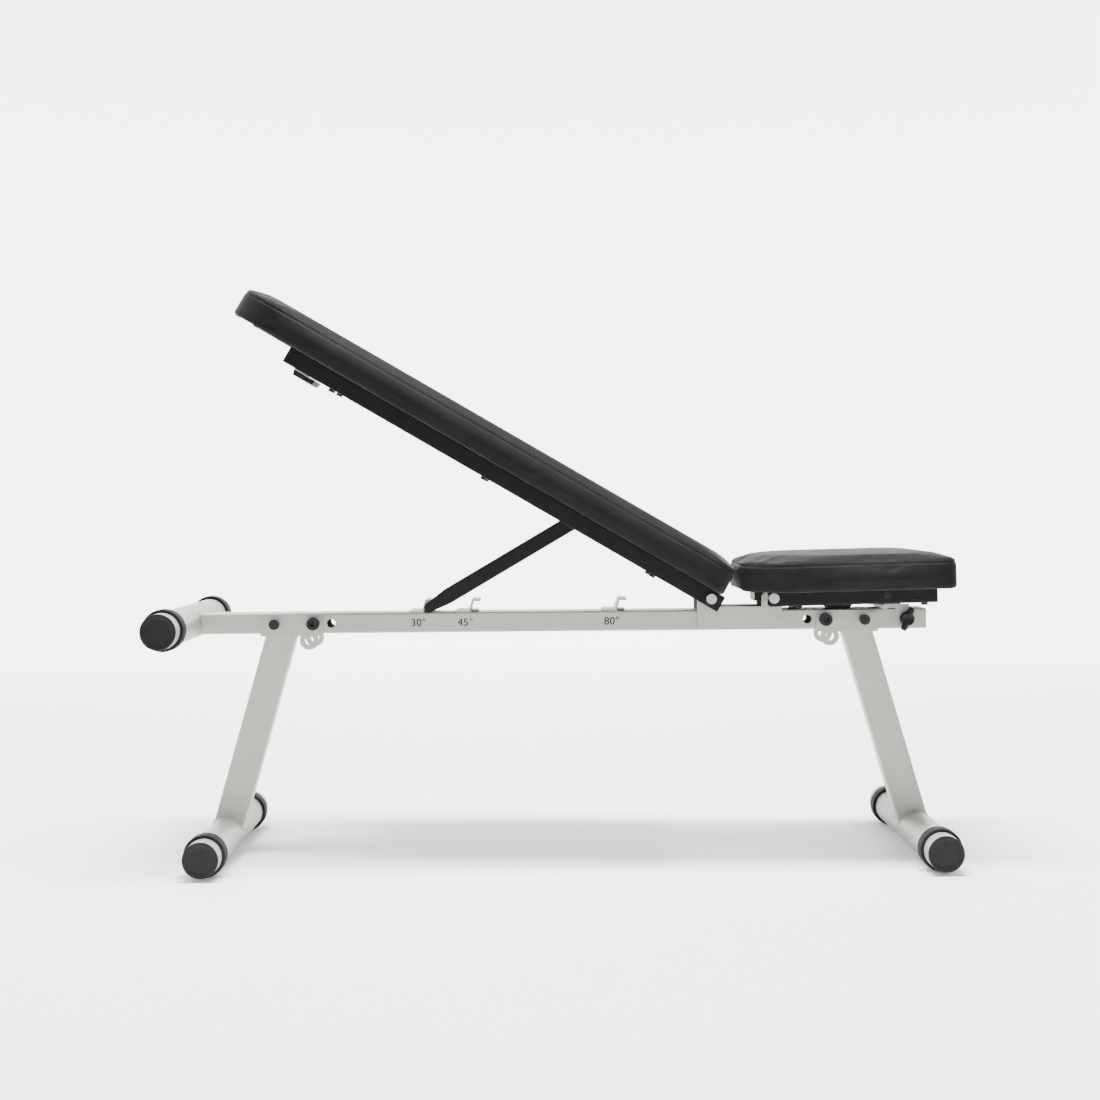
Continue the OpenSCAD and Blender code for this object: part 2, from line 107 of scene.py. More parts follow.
def add_camera():
    """Level camera at the photograph's place, with its slight roll and its framing."""
    data = bpy.data.cameras.new("camera")
    data.lens = CAMERA_LENS
    data.sensor_width = 36
    data.shift_x, data.shift_y = CAMERA_SHIFT
    data.dof.use_dof = False
    camera = bpy.data.objects.new("camera", data)
    camera.location = CAMERA_AT
    camera.rotation_euler = (math.radians(90), CAMERA_ROLL, 0)
    bpy.context.scene.collection.objects.link(camera)
    bpy.context.scene.camera = camera


def add_area(name, place, target, size, power):
    """A soft rectangular light aimed at a point."""
    data = bpy.data.lights.new(name, "AREA")
    data.shape = "RECTANGLE"
    data.size, data.size_y = size
    data.energy = power
    light = bpy.data.objects.new(name, data)
    light.location = place
    light.rotation_euler = (Vector(target) - Vector(place)).to_track_quat("-Z", "Y").to_euler()
    bpy.context.scene.collection.objects.link(light)


def add_world(strength):
    """Even white light from all round."""
    world = bpy.data.worlds.new("studio")
    world.use_nodes = True
    background = world.node_tree.nodes["Background"]
    background.inputs["Color"].default_value = (1, 1, 1, 1)
    background.inputs["Strength"].default_value = strength
    bpy.context.scene.world = world


def add_sweep():
    """Studio bowl: a flat round floor whose rim curves up into a wall on every side."""
    flat_steps, bend_steps, wall_steps = 12, 24, 6
    profile = [(FLAT_RADIUS * k / flat_steps, 0.0) for k in range(1, flat_steps + 1)]
    for k in range(1, bend_steps + 1):
        angle = math.pi / 2 * k / bend_steps
        profile.append((FLAT_RADIUS + BEND_RADIUS * math.sin(angle),
                        BEND_RADIUS * (1 - math.cos(angle))))
    profile += [(FLAT_RADIUS + BEND_RADIUS, BEND_RADIUS + (WALL_TOP - BEND_RADIUS) * k / wall_steps)
                for k in range(1, wall_steps + 1)]
    vertices = [(0, 0, -PAPER_DROP)]
    for r, z in profile:
        for i in range(PAPER_TURNS):
            angle = 2 * math.pi * i / PAPER_TURNS
            vertices.append((r * math.cos(angle), r * math.sin(angle), z - PAPER_DROP))
    faces = [(0, 1 + i, 1 + (i + 1) % PAPER_TURNS) for i in range(PAPER_TURNS)]
    for ring in range(len(profile) - 1):
        start = 1 + ring * PAPER_TURNS
        for i in range(PAPER_TURNS):
            a, b = start + i, start + (i + 1) % PAPER_TURNS
            faces.append((a, a + PAPER_TURNS, b + PAPER_TURNS, b))
    mesh = bpy.data.meshes.new("sweep")
    mesh.from_pydata(vertices, [], faces)
    mesh.polygons.foreach_set("use_smooth", [True] * len(faces))
    sweep = bpy.data.objects.new("sweep", mesh)
    bpy.context.scene.collection.objects.link(sweep)
    mesh.materials.append(sweep_material())


# ---------------------------------------------------------------- material helpers

NOISE_LOW, NOISE_HIGH = 0.3, 0.7    # the range that most noise values fall in


def new_material(name, color, roughness, metallic=0.0, **sockets):
    """A Principled material; further sockets are set by name, with _ for a space."""
    material = bpy.data.materials.new(name)
    material.use_nodes = True
    shader = material.node_tree.nodes["Principled BSDF"]
    shader.inputs["Base Color"].default_value = (*color, 1)
    shader.inputs["Roughness"].default_value = roughness
    shader.inputs["Metallic"].default_value = metallic
    for socket, value in sockets.items():
        shader.inputs[socket.replace("_", " ")].default_value = value
    return material


def place_coords(material, scale=(1, 1, 1)):
    """Object coordinates, so that a pattern stays on its piece when it moves."""
    nodes, links = material.node_tree.nodes, material.node_tree.links
    coords = nodes.new("ShaderNodeTexCoord")
    mapping = nodes.new("ShaderNodeMapping")
    mapping.inputs["Scale"].default_value = scale
    links.new(coords.outputs["Object"], mapping.inputs["Vector"])
    return mapping.outputs["Vector"]


def noise(material, vector, scale, detail=3, rough=0.5):
    nodes, links = material.node_tree.nodes, material.node_tree.links
    texture = nodes.new("ShaderNodeTexNoise")
    texture.inputs["Scale"].default_value = scale
    texture.inputs["Detail"].default_value = detail
    texture.inputs["Roughness"].default_value = rough
    links.new(vector, texture.inputs["Vector"])
    return texture.outputs["Fac"]


def ramp(material, value, low, high, at=(0.35, 0.65)):
    nodes, links = material.node_tree.nodes, material.node_tree.links
    node = nodes.new("ShaderNodeValToRGB")
    node.color_ramp.elements[0].position = at[0]
    node.color_ramp.elements[1].position = at[1]
    node.color_ramp.elements[0].color = (*low, 1)
    node.color_ramp.elements[1].color = (*high, 1)
    links.new(value, node.inputs["Fac"])
    return node.outputs["Color"]


def map_range(material, value, low, high, at=(NOISE_LOW, NOISE_HIGH), smooth=False):
    """Maps the range at of a value to low..high."""
    node = material.node_tree.nodes.new("ShaderNodeMapRange")
    if smooth:
        node.interpolation_type = "SMOOTHSTEP"
    node.inputs["From Min"].default_value, node.inputs["From Max"].default_value = at
    node.inputs["To Min"].default_value = low
    node.inputs["To Max"].default_value = high
    material.node_tree.links.new(value, node.inputs["Value"])
    return node.outputs["Result"]


def set_input(material, socket, value):
    shader = material.node_tree.nodes["Principled BSDF"]
    material.node_tree.links.new(value, shader.inputs[socket])


def add_bump(material, height, strength, distance, below=None):
    """A bump on the surface, over the bump below it if there is one."""
    nodes, links = material.node_tree.nodes, material.node_tree.links
    bump = nodes.new("ShaderNodeBump")
    bump.inputs["Strength"].default_value = strength
    bump.inputs["Distance"].default_value = distance
    links.new(height, bump.inputs["Height"])
    if below is not None:
        links.new(below, bump.inputs["Normal"])
    set_input(material, "Normal", bump.outputs["Normal"])
    return bump.outputs["Normal"]


def tint(color, factor):
    """A colour made lighter or darker."""
    return tuple(min(1, c * factor) for c in color)


def mottled(material, color, spread, scale):
    """Slow colour variation around a base colour."""
    vector = place_coords(material)
    value = noise(material, vector, scale, detail=4)
    set_input(material, "Base Color", ramp(material, value, tint(color, 1 - spread),
                                           tint(color, 1 + spread)))
    return vector


# ---------------------------------------------------------------- materials

def sweep_material():
    """Paper: pale where the bench stands, glowing evenly behind it, darker in front."""
    pale = (PAPER_SHADE, PAPER_SHADE, PAPER_SHADE)
    material = new_material("studio_paper", pale, 0.7, Specular_IOR_Level=0.1)
    vector = place_coords(material)
    add_bump(material, noise(material, vector, 60), 0.02, 0.001)
    nodes, links = material.node_tree.nodes, material.node_tree.links
    split = nodes.new("ShaderNodeSeparateXYZ")
    links.new(vector, split.inputs["Vector"])

    def step(low, high, at):
        return map_range(material, split.outputs["Y"], low, high, at, smooth=True)

    behind = step(FLOOR_GLOW, WALL_GLOW, (WALL_FROM, WALL_TO))
    front = step(FRONT_GLOW, 0.0, (GLOW_FROM, GLOW_TO))
    shade = step(FRONT_SHADE, PAPER_SHADE, (SHADE_FROM, SHADE_TO))
    grey = nodes.new("ShaderNodeCombineColor")
    for channel in ("Red", "Green", "Blue"):
        links.new(shade, grey.inputs[channel])
    set_input(material, "Base Color", grey.outputs["Color"])
    total = nodes.new("ShaderNodeMath")
    total.operation = "ADD"
    links.new(behind, total.inputs[0])
    links.new(front, total.inputs[1])
    shader = nodes["Principled BSDF"]
    shader.inputs["Emission Color"].default_value = (1, 1, 1, 1)
    links.new(total.outputs["Value"], shader.inputs["Emission Strength"])
    return material


def powder_coat(name, color, roughness, grain, shine):
    """Sprayed and baked paint: orange-peel waves under a fine grain, with faint rub marks."""
    material = new_material(name, color, roughness, Specular_IOR_Level=shine)
    vector = mottled(material, color, 0.035, 9)
    rub = noise(material, place_coords(material, (1, 6, 6)), 22, detail=6, rough=0.65)
    set_input(material, "Roughness", map_range(material, rub, roughness - 0.06, roughness + 0.09))
    peel = add_bump(material, noise(material, vector, 380, detail=2), 0.16 * grain, 0.0004)
    add_bump(material, noise(material, vector, 2200, detail=1), 0.22 * grain, 0.0002, peel)
    return material


def leatherette():
    """Black coated cloth: pebbled grain from cells, soft creases, uneven sheen."""
    color = (0.0135, 0.0135, 0.014)
    material = new_material("black_leatherette", color, 0.46, Specular_IOR_Level=0.03)
    nodes, links = material.node_tree.nodes, material.node_tree.links
    vector = mottled(material, color, 0.06, 26)
    cells = nodes.new("ShaderNodeTexVoronoi")
    cells.feature = "DISTANCE_TO_EDGE"
    cells.inputs["Scale"].default_value = 620
    links.new(vector, cells.inputs["Vector"])
    soft = noise(material, vector, 14, detail=4)
    set_input(material, "Roughness", map_range(material, soft, 0.52, 0.59))
    crease = add_bump(material, noise(material, vector, 34, detail=3, rough=0.6), 0.10, 0.0012)
    add_bump(material, ramp(material, cells.outputs["Distance"], (0, 0, 0), (1, 1, 1),
                            at=(0.0, 0.22)), 0.30, 0.00025, crease)
    return material


def thread_material():
    """Dark sewing thread with a twisted grain."""
    color = (0.036, 0.036, 0.037)
    material = new_material("stitch_thread", color, 0.6, Specular_IOR_Level=0.1)
    vector = mottled(material, color, 0.2, 900)
    add_bump(material, noise(material, vector, 3000), 0.4, 0.0002)
    return material


def rubber(name, color, roughness):
    """Dull black rubber with patches of dust."""
    material = new_material(name, color, roughness, Specular_IOR_Level=0.12)
    vector = mottled(material, color, 0.18, 40)
    dust = noise(material, vector, 70, detail=6, rough=0.7)
    set_input(material, "Roughness", map_range(material, dust, roughness - 0.07, roughness + 0.1))
    add_bump(material, noise(material, vector, 1500, detail=2), 0.25, 0.0002)
    return material


def moulded_plastic(name, color, roughness):
    """Black plastic with the fine grain of its mould."""
    material = new_material(name, color, roughness, Specular_IOR_Level=0.15)
    vector = mottled(material, color, 0.08, 60)
    grain = noise(material, vector, 1800, detail=2)
    set_input(material, "Roughness", map_range(material, grain, roughness - 0.04, roughness + 0.06))
    add_bump(material, grain, 0.18, 0.00015)
    return material


def plated_steel(name, color, roughness):
    """Plated or blackened steel with turning marks and cloudy patches."""
    material = new_material(name, color, roughness, metallic=1.0)
    vector = mottled(material, color, 0.10, 120)
    marks = noise(material, place_coords(material, (1, 0.05, 1)), 900, detail=2)
    set_input(material, "Roughness", map_range(material, marks, roughness - 0.08, roughness + 0.12))
    add_bump(material, marks, 0.12, 0.0001)
    return material


def plywood():
    """Dark stained plywood, its grain along the board."""
    color = (0.022, 0.020, 0.018)
    material = new_material("stained_plywood", color, 0.75, Specular_IOR_Level=0.2)
    vector = place_coords(material, (1, 14, 1))
    grain = noise(material, vector, 16, detail=8, rough=0.65)
    set_input(material, "Base Color", ramp(material, grain, tint(color, 0.72), tint(color, 1.28)))
    set_input(material, "Roughness", map_range(material, grain, 0.66, 0.84))
    add_bump(material, grain, 0.3, 0.0004)
    return material


def ink():
    """Matt black printing ink, slightly uneven."""
    color = (0.012, 0.012, 0.012)
    material = new_material("scale_ink", color, 0.55, Specular_IOR_Level=0.1)
    vector = mottled(material, color, 0.3, 500)
    set_input(material, "Roughness", map_range(material, noise(material, vector, 900), 0.45, 0.65))
    return material


GREY = powder_coat("grey_powder_coat", (0.385, 0.397, 0.352), 0.42, 1.0, 0.35)
# Painted shade: the same grey paint made darker, used only on the round tubes so they look less brightly lit from
# above.
GREY_PAINTED_SHADE = powder_coat("grey_powder_coat_painted_shade", (0.265, 0.273, 0.245), 0.42, 1.0, 0.35)
BLACK = powder_coat("black_powder_coat", (0.0135, 0.0135, 0.014), 0.42, 1.2, 0.06)
LEATHER = leatherette()
THREAD = thread_material()
RUBBER = rubber("black_rubber", (0.012, 0.012, 0.0125), 0.62)
CAP = moulded_plastic("cap_plastic", (0.0105, 0.0105, 0.011), 0.5)
KNOB = moulded_plastic("knob_plastic", (0.013, 0.013, 0.0135), 0.36)
ZINC = plated_steel("zinc_plate", (0.60, 0.60, 0.56), 0.36)
DARK_STEEL = plated_steel("black_oxide", (0.035, 0.035, 0.036), 0.38)
WOOD = plywood()
INK = ink()

SLOT_MATERIAL = {
    "frame_paint": GREY, "black_paint": BLACK, "leatherette": LEATHER, "rubber": RUBBER,
    "cap_plastic": CAP, "knob_plastic": KNOB, "black_fasteners": DARK_STEEL, "zinc": ZINC,
    "plywood": WOOD,
}
ROUND_TUBES = ("stand_tube", "front_foot_tube", "rear_foot_tube")
EDGE_ROUND = 0.5 * MM


def dress_cad():
    """Gives each CAD node the finish of its slot, the round tubes a darker grey as painted shade, and a fine bevel
    on its sheet and tube edges.
    """
    for row in frame["record"]["subparts"]:
        node = NODES[row["node"]]
        finish = SLOT_MATERIAL[row["material_slot"]]
        node.data.materials.clear()
        # The round tubes get the darker copy of the grey paint, as painted shade.
        node.data.materials.append(GREY_PAINTED_SHADE if row["node"] in ROUND_TUBES else finish)
        bevel = node.modifiers.new("edges", "BEVEL")
        bevel.width = EDGE_ROUND
        bevel.segments = 2
        bevel.limit_method = "ANGLE"
        bevel.angle_limit = math.radians(50)
        bevel.use_clamp_overlap = True


# ---------------------------------------------------------------- mesh helpers

def add_mesh(name, vertices, faces, material, body, smooth=True):
    """A finished piece made from vertices and faces."""
    mesh = bpy.data.meshes.new(name)
    mesh.from_pydata([tuple(v) for v in vertices], [], faces)
    mesh.validate()
    piece = bpy.data.objects.new(name, mesh)
    bpy.context.scene.collection.objects.link(piece)
    return finish_piece(piece, material, body, smooth)


def finish_piece(piece, material, body, smooth=True):
    """Cleans a piece's mesh, gives it its material, and ties it to its body."""
    mesh = piece.data
    work = bmesh.new()
    work.from_mesh(mesh)
    bmesh.ops.remove_doubles(work, verts=work.verts, dist=1e-7)
    bmesh.ops.recalc_face_normals(work, faces=work.faces)
    work.to_mesh(mesh)
    work.free()
    mesh.polygons.foreach_set("use_smooth", [smooth] * len(mesh.polygons))
    mesh.materials.clear()
    mesh.materials.append(material)
    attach(piece, body)
    return piece


def lathe_y(profile, centre_at, turns=72):
    """Vertices and faces of a closed profile of (radius, y) points turned about an axis along Y."""
    vertices, faces = [], []
    count = len(profile)
    for i in range(turns):
        angle = 2 * math.pi * i / turns
        for radius, y in profile:
            vertices.append((centre_at[0] + radius * math.cos(angle), centre_at[1] + y,
                             centre_at[2] + radius * math.sin(angle)))
    for i in range(turns):
        for j in range(count):
            a, b = i * count + j, i * count + (j + 1) % count
            c, d = ((i + 1) % turns) * count + (j + 1) % count, ((i + 1) % turns) * count + j
            faces.append((a, b, c, d))
    return vertices, faces


def lathe_open_y(profile, centre_at, turns=72):
    """Like lathe_y, for a profile whose first and last points lie on the axis."""
    vertices, faces = [], []
    inner = profile[1:-1]
    count = len(inner)
    for i in range(turns):
        angle = 2 * math.pi * i / turns
        for radius, y in inner:
            vertices.append((centre_at[0] + radius * math.cos(angle), centre_at[1] + y,
                             centre_at[2] + radius * math.sin(angle)))
    first, last = len(vertices), len(vertices) + 1
    for _, y in (profile[0], profile[-1]):
        vertices.append((centre_at[0], centre_at[1] + y, centre_at[2]))
    for i in range(turns):
        here, there = i * count, ((i + 1) % turns) * count
        faces.append((first, here, there))
        faces.append((last, there + count - 1, here + count - 1))
        for j in range(count - 1):
            faces.append((here + j, here + j + 1, there + j + 1, there + j))
    return vertices, faces


def tube_faces(rings, sides, start=0):
    """Faces along a run of closed rings of vertices, with one across each end."""
    faces = []
    for ring in range(rings - 1):
        first = start + ring * sides
        for k in range(sides):
            a, b = first + k, first + (k + 1) % sides
            faces.append((a, b, b + sides, a + sides))
    faces.append(tuple(start + k for k in reversed(range(sides))))
    faces.append(tuple(start + (rings - 1) * sides + k for k in range(sides)))
    return faces


def join_parts(parts):
    """The vertices and faces of several parts as those of one."""
    vertices, faces = [], []
    for part_vertices, part_faces in parts:
        start = len(vertices)
        vertices += part_vertices
        faces += [tuple(start + i for i in face) for face in part_faces]
    return vertices, faces


def corners_of(node):
    """Lowest and highest corner of a CAD node's box."""
    low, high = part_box(node)
    return Vector(low), Vector(high)


# ---------------------------------------------------------------- cushions

VOXEL = 4 * MM
PRESSURE = 1.6
MOST_SWELL = 5 * MM
HELD_BELOW = 0.0085                 # the cover is stapled down below this height
CLOTH_STIFFNESS = 30
CLOTH_FRAMES = 20
SEAM_DEPTH, SEAM_WIDTH = 1.6 * MM, 1.3 * MM
SEAM_FACES_OUT = 0.35               # a seam presses only faces that look this far sideways
STITCH_PITCH, STITCH_LENGTH, STITCH_R = 4.4 * MM, 3.0 * MM, 0.34 * MM
STITCH_OFF_SEAM = 2.6 * MM
STITCH_SIDES = 6
NEEDLE_START, NEEDLE_REACH = 0.012, 0.04
STAPLE_PITCH = 42 * MM
STAPLE_HALF, WIRE_HALF = 0.005, 0.0006
HEM = 0.020                         # staples lie this far in from the pad's outline
SMALLEST_CORNER = 0.002


def rounded_loop(x0, x1, half, r0, r1, corner_steps=14, side_steps=(60, 22)):
    """Points round a pad's outline: head-end and far-end corners may have different radii."""
    corners = [(x1 - r1, half - r1, r1, 0), (x0 + r0, half - r0, r0, 90),
               (x0 + r0, -half + r0, r0, 180), (x1 - r1, -half + r1, r1, 270)]
    points = []
    for index, (cx, cy, radius, start) in enumerate(corners):
        for step in range(corner_steps + 1):
            angle = math.radians(start + 90 * step / corner_steps)
            points.append(Vector((cx + radius * math.cos(angle), cy + radius * math.sin(angle))))
        nx, ny, nr, ns = corners[(index + 1) % 4]
        turn = math.radians(ns)
        end = Vector((nx + nr * math.cos(turn), ny + nr * math.sin(turn)))
        steps = side_steps[index % 2]
        start_point = points[-1]
        points += [start_point.lerp(end, k / steps) for k in range(1, steps)]
    return points


def cushion_shell(x0, x1, half, r0, r1, thick, crown, edge):
    """A closed slab with a round top edge and a crowned top, flat below with a shallow pocket."""
    pocket, side_from = 0.0055, 0.0045
    side_steps, edge_steps, top_steps = 6, 6, 14
    rings = [(0.030, pocket), (0.0135, pocket), (0.0100, 0.0004), (0.003, 0.0), (0.0006, 0.0010),
             (0.0, side_from)]
    for k in range(1, side_steps + 1):
        rings.append((0.0, side_from + (thick - edge - side_from) * k / side_steps))
    for k in range(1, edge_steps + 1):
        angle = math.pi / 2 * k / edge_steps
        rings.append((edge * (1 - math.cos(angle)), thick - edge + edge * math.sin(angle)))
    deepest = half - 0.004
    for k in range(1, top_steps + 1):
        share = k / top_steps
        inset = edge + (deepest - edge) * share
        rings.append((inset, thick + crown * (1 - (1 - share) ** 2)))
    vertices, faces = [], []
    count = 0
    for inset, z in rings:
        loop = rounded_loop(x0 + inset, x1 - inset, half - inset,
                            max(r0 - inset, SMALLEST_CORNER), max(r1 - inset, SMALLEST_CORNER))
        count = len(loop)
        vertices += [(p.x, p.y, z) for p in loop]
    for ring in range(len(rings) - 1):
        for i in range(count):
            j = (i + 1) % count
            faces.append((ring * count + i, ring * count + j, (ring + 1) * count + j,
                          (ring + 1) * count + i))
    faces.append(tuple(range(count)))
    faces.append(tuple(reversed(range((len(rings) - 1) * count, len(rings) * count))))
    return vertices, faces


def inflate(name, vertices, faces):
    """Swells a closed shell with Blender's cloth, its underside held flat."""
    mesh = bpy.data.meshes.new(name)
    mesh.from_pydata(vertices, [], faces)
    piece = bpy.data.objects.new(name, mesh)
    bpy.context.scene.collection.objects.link(piece)
    bpy.context.view_layer.objects.active = piece
    remesh = piece.modifiers.new("remesh", "REMESH")
    remesh.mode = "VOXEL"
    remesh.voxel_size = VOXEL
    graph = bpy.context.evaluated_depsgraph_get()
    even = bpy.data.meshes.new_from_object(piece.evaluated_get(graph))
    piece.modifiers.clear()
    piece.data = even
    start = [v.co.copy() for v in even.vertices]
    held = piece.vertex_groups.new(name="held")
    held.add([i for i, co in enumerate(start) if co.z < HELD_BELOW], 1.0, "REPLACE")
    cloth = piece.modifiers.new("cloth", "CLOTH")
    cloth.settings.use_pressure = True
    cloth.settings.uniform_pressure_force = PRESSURE
    cloth.settings.effector_weights.gravity = 0
    cloth.settings.vertex_group_mass = "held"
    cloth.settings.tension_stiffness = CLOTH_STIFFNESS
    cloth.settings.compression_stiffness = CLOTH_STIFFNESS
    cloth.settings.quality = 5
    cloth.collision_settings.use_collision = False
    scene = bpy.context.scene
    for number in range(1, CLOTH_FRAMES + 1):
        scene.frame_set(number)
    graph = bpy.context.evaluated_depsgraph_get()
    swollen = bpy.data.meshes.new_from_object(piece.evaluated_get(graph))
    piece.modifiers.clear()
    for vertex, rest in zip(swollen.vertices, start):
        move = vertex.co - rest
        if move.length > MOST_SWELL:
            vertex.co = rest + move.normalized() * MOST_SWELL
    piece.data = swollen
    scene.frame_set(1)
    settle = piece.modifiers.new("settle", "SMOOTH")
    settle.iterations = 2
    settle.factor = 0.5
    subdivide = piece.modifiers.new("subdivide", "SUBSURF")
    subdivide.levels = 1
    subdivide.render_levels = 1
    graph = bpy.context.evaluated_depsgraph_get()
    final = bpy.data.meshes.new_from_object(piece.evaluated_get(graph))
    piece.modifiers.clear()
    piece.data = final
    piece.vertex_groups.clear()
    return piece


def press_seam(piece, height):
    """Pulls the cover in along the sewn line that runs round the pad at a height."""
    mesh = piece.data
    normals = [v.normal.copy() for v in mesh.vertices]
    for vertex, normal in zip(mesh.vertices, normals):
        flat = Vector((normal.x, normal.y, 0))
        if flat.length < SEAM_FACES_OUT:
            continue
        pull = math.exp(-((vertex.co.z - height) / SEAM_WIDTH) ** 2)
        vertex.co -= flat.normalized() * SEAM_DEPTH * pull * flat.length


def stitch_row(tree, loop, z):
    """Small six-sided stitches laid on the cover, one after another round the pad."""
    vertices, faces = [], []
    spacing = [0.0]
    closed = loop + [loop[0]]
    for a, b in zip(closed, closed[1:]):
        spacing.append(spacing[-1] + (b - a).length)
    total = spacing[-1]

    def along(distance):
        distance %= total
        for k in range(len(spacing) - 1):
            if spacing[k + 1] >= distance:
                share = (distance - spacing[k]) / max(spacing[k + 1] - spacing[k], 1e-9)
                return closed[k].lerp(closed[k + 1], share)
        return closed[-1]

    def on_cover(distance):
        here, ahead = along(distance), along(distance + 0.5 * MM)
        tangent = (ahead - here).normalized()
        inward = Vector((-tangent.y, tangent.x, 0))
        spot, normal, _, _ = tree.ray_cast(Vector((here.x, here.y, z)), inward, NEEDLE_REACH)
        return spot, normal

    outline = ((0, 0.35), (0.25, 1), (0.75, 1), (1, 0.35))
    for index in range(int(total / STITCH_PITCH)):
        spot, normal = on_cover(index * STITCH_PITCH)
        spot_b, _ = on_cover(index * STITCH_PITCH + STITCH_LENGTH)
        if spot is None or spot_b is None:
            continue
        forward = (spot_b - spot).normalized()
        side = normal.cross(forward).normalized()
        faces += tube_faces(len(outline), STITCH_SIDES, len(vertices))
        for share, grow in outline:
            base = spot.lerp(spot_b, share) + normal * STITCH_R * 0.25
            for k in range(STITCH_SIDES):
                angle = 2 * math.pi * k / STITCH_SIDES
                vertices.append(base + (side * math.cos(angle) + normal * math.sin(angle) * 0.8)
                                * STITCH_R * grow)
    return vertices, faces


def staple_row(loop, z):
    """Flat wire staples that hold the cover under the board's edge."""
    box_faces = ((0, 1, 2, 3), (7, 6, 5, 4), (0, 4, 5, 1), (1, 5, 6, 2), (2, 6, 7, 3),
                 (3, 7, 4, 0))
    vertices, faces = [], []
    count = len(loop)
    walked = 0.0
    for i in range(count):
        a, b = loop[i], loop[(i + 1) % count]
        walked += (b - a).length
        if walked < STAPLE_PITCH:
            continue
        walked = 0.0
        forward = (b - a).normalized()
        side = Vector((-forward.y, forward.x))
        start = len(vertices)
        for dz in (0, -WIRE_HALF):
            for u, v in ((-1, -1), (1, -1), (1, 1), (-1, 1)):
                p = a + forward * u * STAPLE_HALF + side * v * WIRE_HALF
                vertices.append((p.x, p.y, z + dz))
        faces += [tuple(start + k for k in quad) for quad in box_faces]
    return vertices, faces


def make_cushion(name, node, body, place, x0, x1, half, r0, r1, thick, crown, edge,
                 seam_from_top):
    """A swollen cushion in place of a CAD pad, with its stitches and staples."""
    vertices, faces = cushion_shell(x0, x1, half, r0, r1, thick, crown, edge)
    piece = inflate(name, vertices, faces)
    seam = thick - seam_from_top
    press_seam(piece, seam)
    board = BOARD_Z - PAD_BASE
    for vertex in piece.data.vertices:
        if abs(vertex.co.y) < RAIL_OUT:
            vertex.co.z = max(vertex.co.z, board)
    piece.data.update()
    tree = BVHTree.FromPolygons([v.co.copy() for v in piece.data.vertices],
                                [tuple(p.vertices) for p in piece.data.polygons])
    out = NEEDLE_START
    loop = rounded_loop(x0 - out, x1 + out, half + out, r0 + out, r1 + out)
    rows = [stitch_row(tree, loop, seam + dz) for dz in (STITCH_OFF_SEAM, -STITCH_OFF_SEAM)]
    lift = place @ Matrix.Translation((0, 0, PAD_BASE))
    piece.data.transform(lift)
    finish_piece(piece, LEATHER, body)
    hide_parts(node)
    vertices, faces = join_parts(rows)
    moved = [lift @ Vector(v) for v in vertices]
    thread = add_mesh(name + "_stitches", moved, faces, THREAD, body)
    inner = rounded_loop(x0 + HEM, x1 - HEM, half - HEM, r0 - HEM, r1 - HEM)
    vertices, faces = staple_row(inner, board - 0.1 * MM)
    moved = [lift @ Vector(v) for v in vertices]
    add_mesh(name + "_staples", moved, faces, ZINC, body, smooth=False)
    return piece, thread


def make_cushions():
    """Both pads; the seat's cushion and stitches each get a mesh of their own."""
    make_cushion("backrest_cushion", "backrest_pad", "backrest", BACKREST,
                 x0=-5 * MM, x1=815 * MM, half=132 * MM, r0=28 * MM, r1=60 * MM,
                 thick=45 * MM, crown=3 * MM, edge=7 * MM, seam_from_top=8.5 * MM)
    seat = make_cushion("seat_cushion", "seat_pad", "seat", SEAT,
                        x0=-50 * MM, x1=253.5 * MM, half=132 * MM, r0=85 * MM, r1=18 * MM,
                        thick=46 * MM, crown=6 * MM, edge=7 * MM, seam_from_top=7 * MM)
    for piece in seat:
        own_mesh(piece)


# ---------------------------------------------------------------- tube ends and rings

RING_WIDTH = 20 * MM
RING_GROOVES, GROOVE_PITCH = 4, 4.0 * MM
CAP_RIM, CAP_PLUG_DEPTH = 3 * MM, 20 * MM


def make_caps_and_rings():
    """Turned end caps and grooved rubber rings in place of the plain CAD ones."""
    for prefix, body in (("stand_tube", "frame"), ("front_foot", "front_leg"),
                         ("rear_foot", "rear_leg")):
        low, high = corners_of(prefix + "_caps")
        middle = (low + high) / 2
        half = (high.y - low.y) / 2
        plug_r = TUBE_R - 1.8 * MM
        caps = []
        for side in (-1, 1):
            profile = [(0, half - 0.6 * MM), (16 * MM, half - 0.6 * MM),
                       (21.2 * MM, half - 0.5 * MM), (22.0 * MM, half), (24.2 * MM, half),
                       (25.1 * MM, half - 0.4 * MM), (TUBE_R, half - 1.2 * MM),
                       (TUBE_R, half - CAP_RIM), (plug_r, half - CAP_RIM),
                       (plug_r, half - CAP_PLUG_DEPTH), (0, half - CAP_PLUG_DEPTH)]
            caps.append(lathe_open_y([(r, side * y) for r, y in profile], middle))
        vertices, faces = join_parts(caps)
        piece = add_mesh(prefix + "_end_caps", vertices, faces, CAP, body)
        sharpen(piece)
        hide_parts(prefix + "_caps")
        low, high = corners_of(prefix + "_rings")
        middle = (low + high) / 2
        outer = (high.z - low.z) / 2
        end = (high.y - low.y) / 2
        rings = []
        for side in (-1, 1):
            profile = [(TUBE_R, 0), (outer - 1.6 * MM, 0), (outer - 0.5 * MM, 0.4 * MM),
                       (outer, 1.6 * MM)]
            for groove in range(RING_GROOVES):
                at = (1 + groove) * GROOVE_PITCH
                profile += [(outer, at - 0.7 * MM), (outer - 0.5 * MM, at),
                            (outer, at + 0.7 * MM)]
            profile += [(outer, RING_WIDTH - 1.6 * MM),
                        (outer - 0.5 * MM, RING_WIDTH - 0.4 * MM),
                        (outer - 1.6 * MM, RING_WIDTH), (TUBE_R, RING_WIDTH)]
            rings.append(lathe_y([(r, side * (end - y)) for r, y in profile], middle))
        vertices, faces = join_parts(rings)
        piece = add_mesh(prefix + "_rubber_rings", vertices, faces, RUBBER, body)
        sharpen(piece)
        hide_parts(prefix + "_rings")


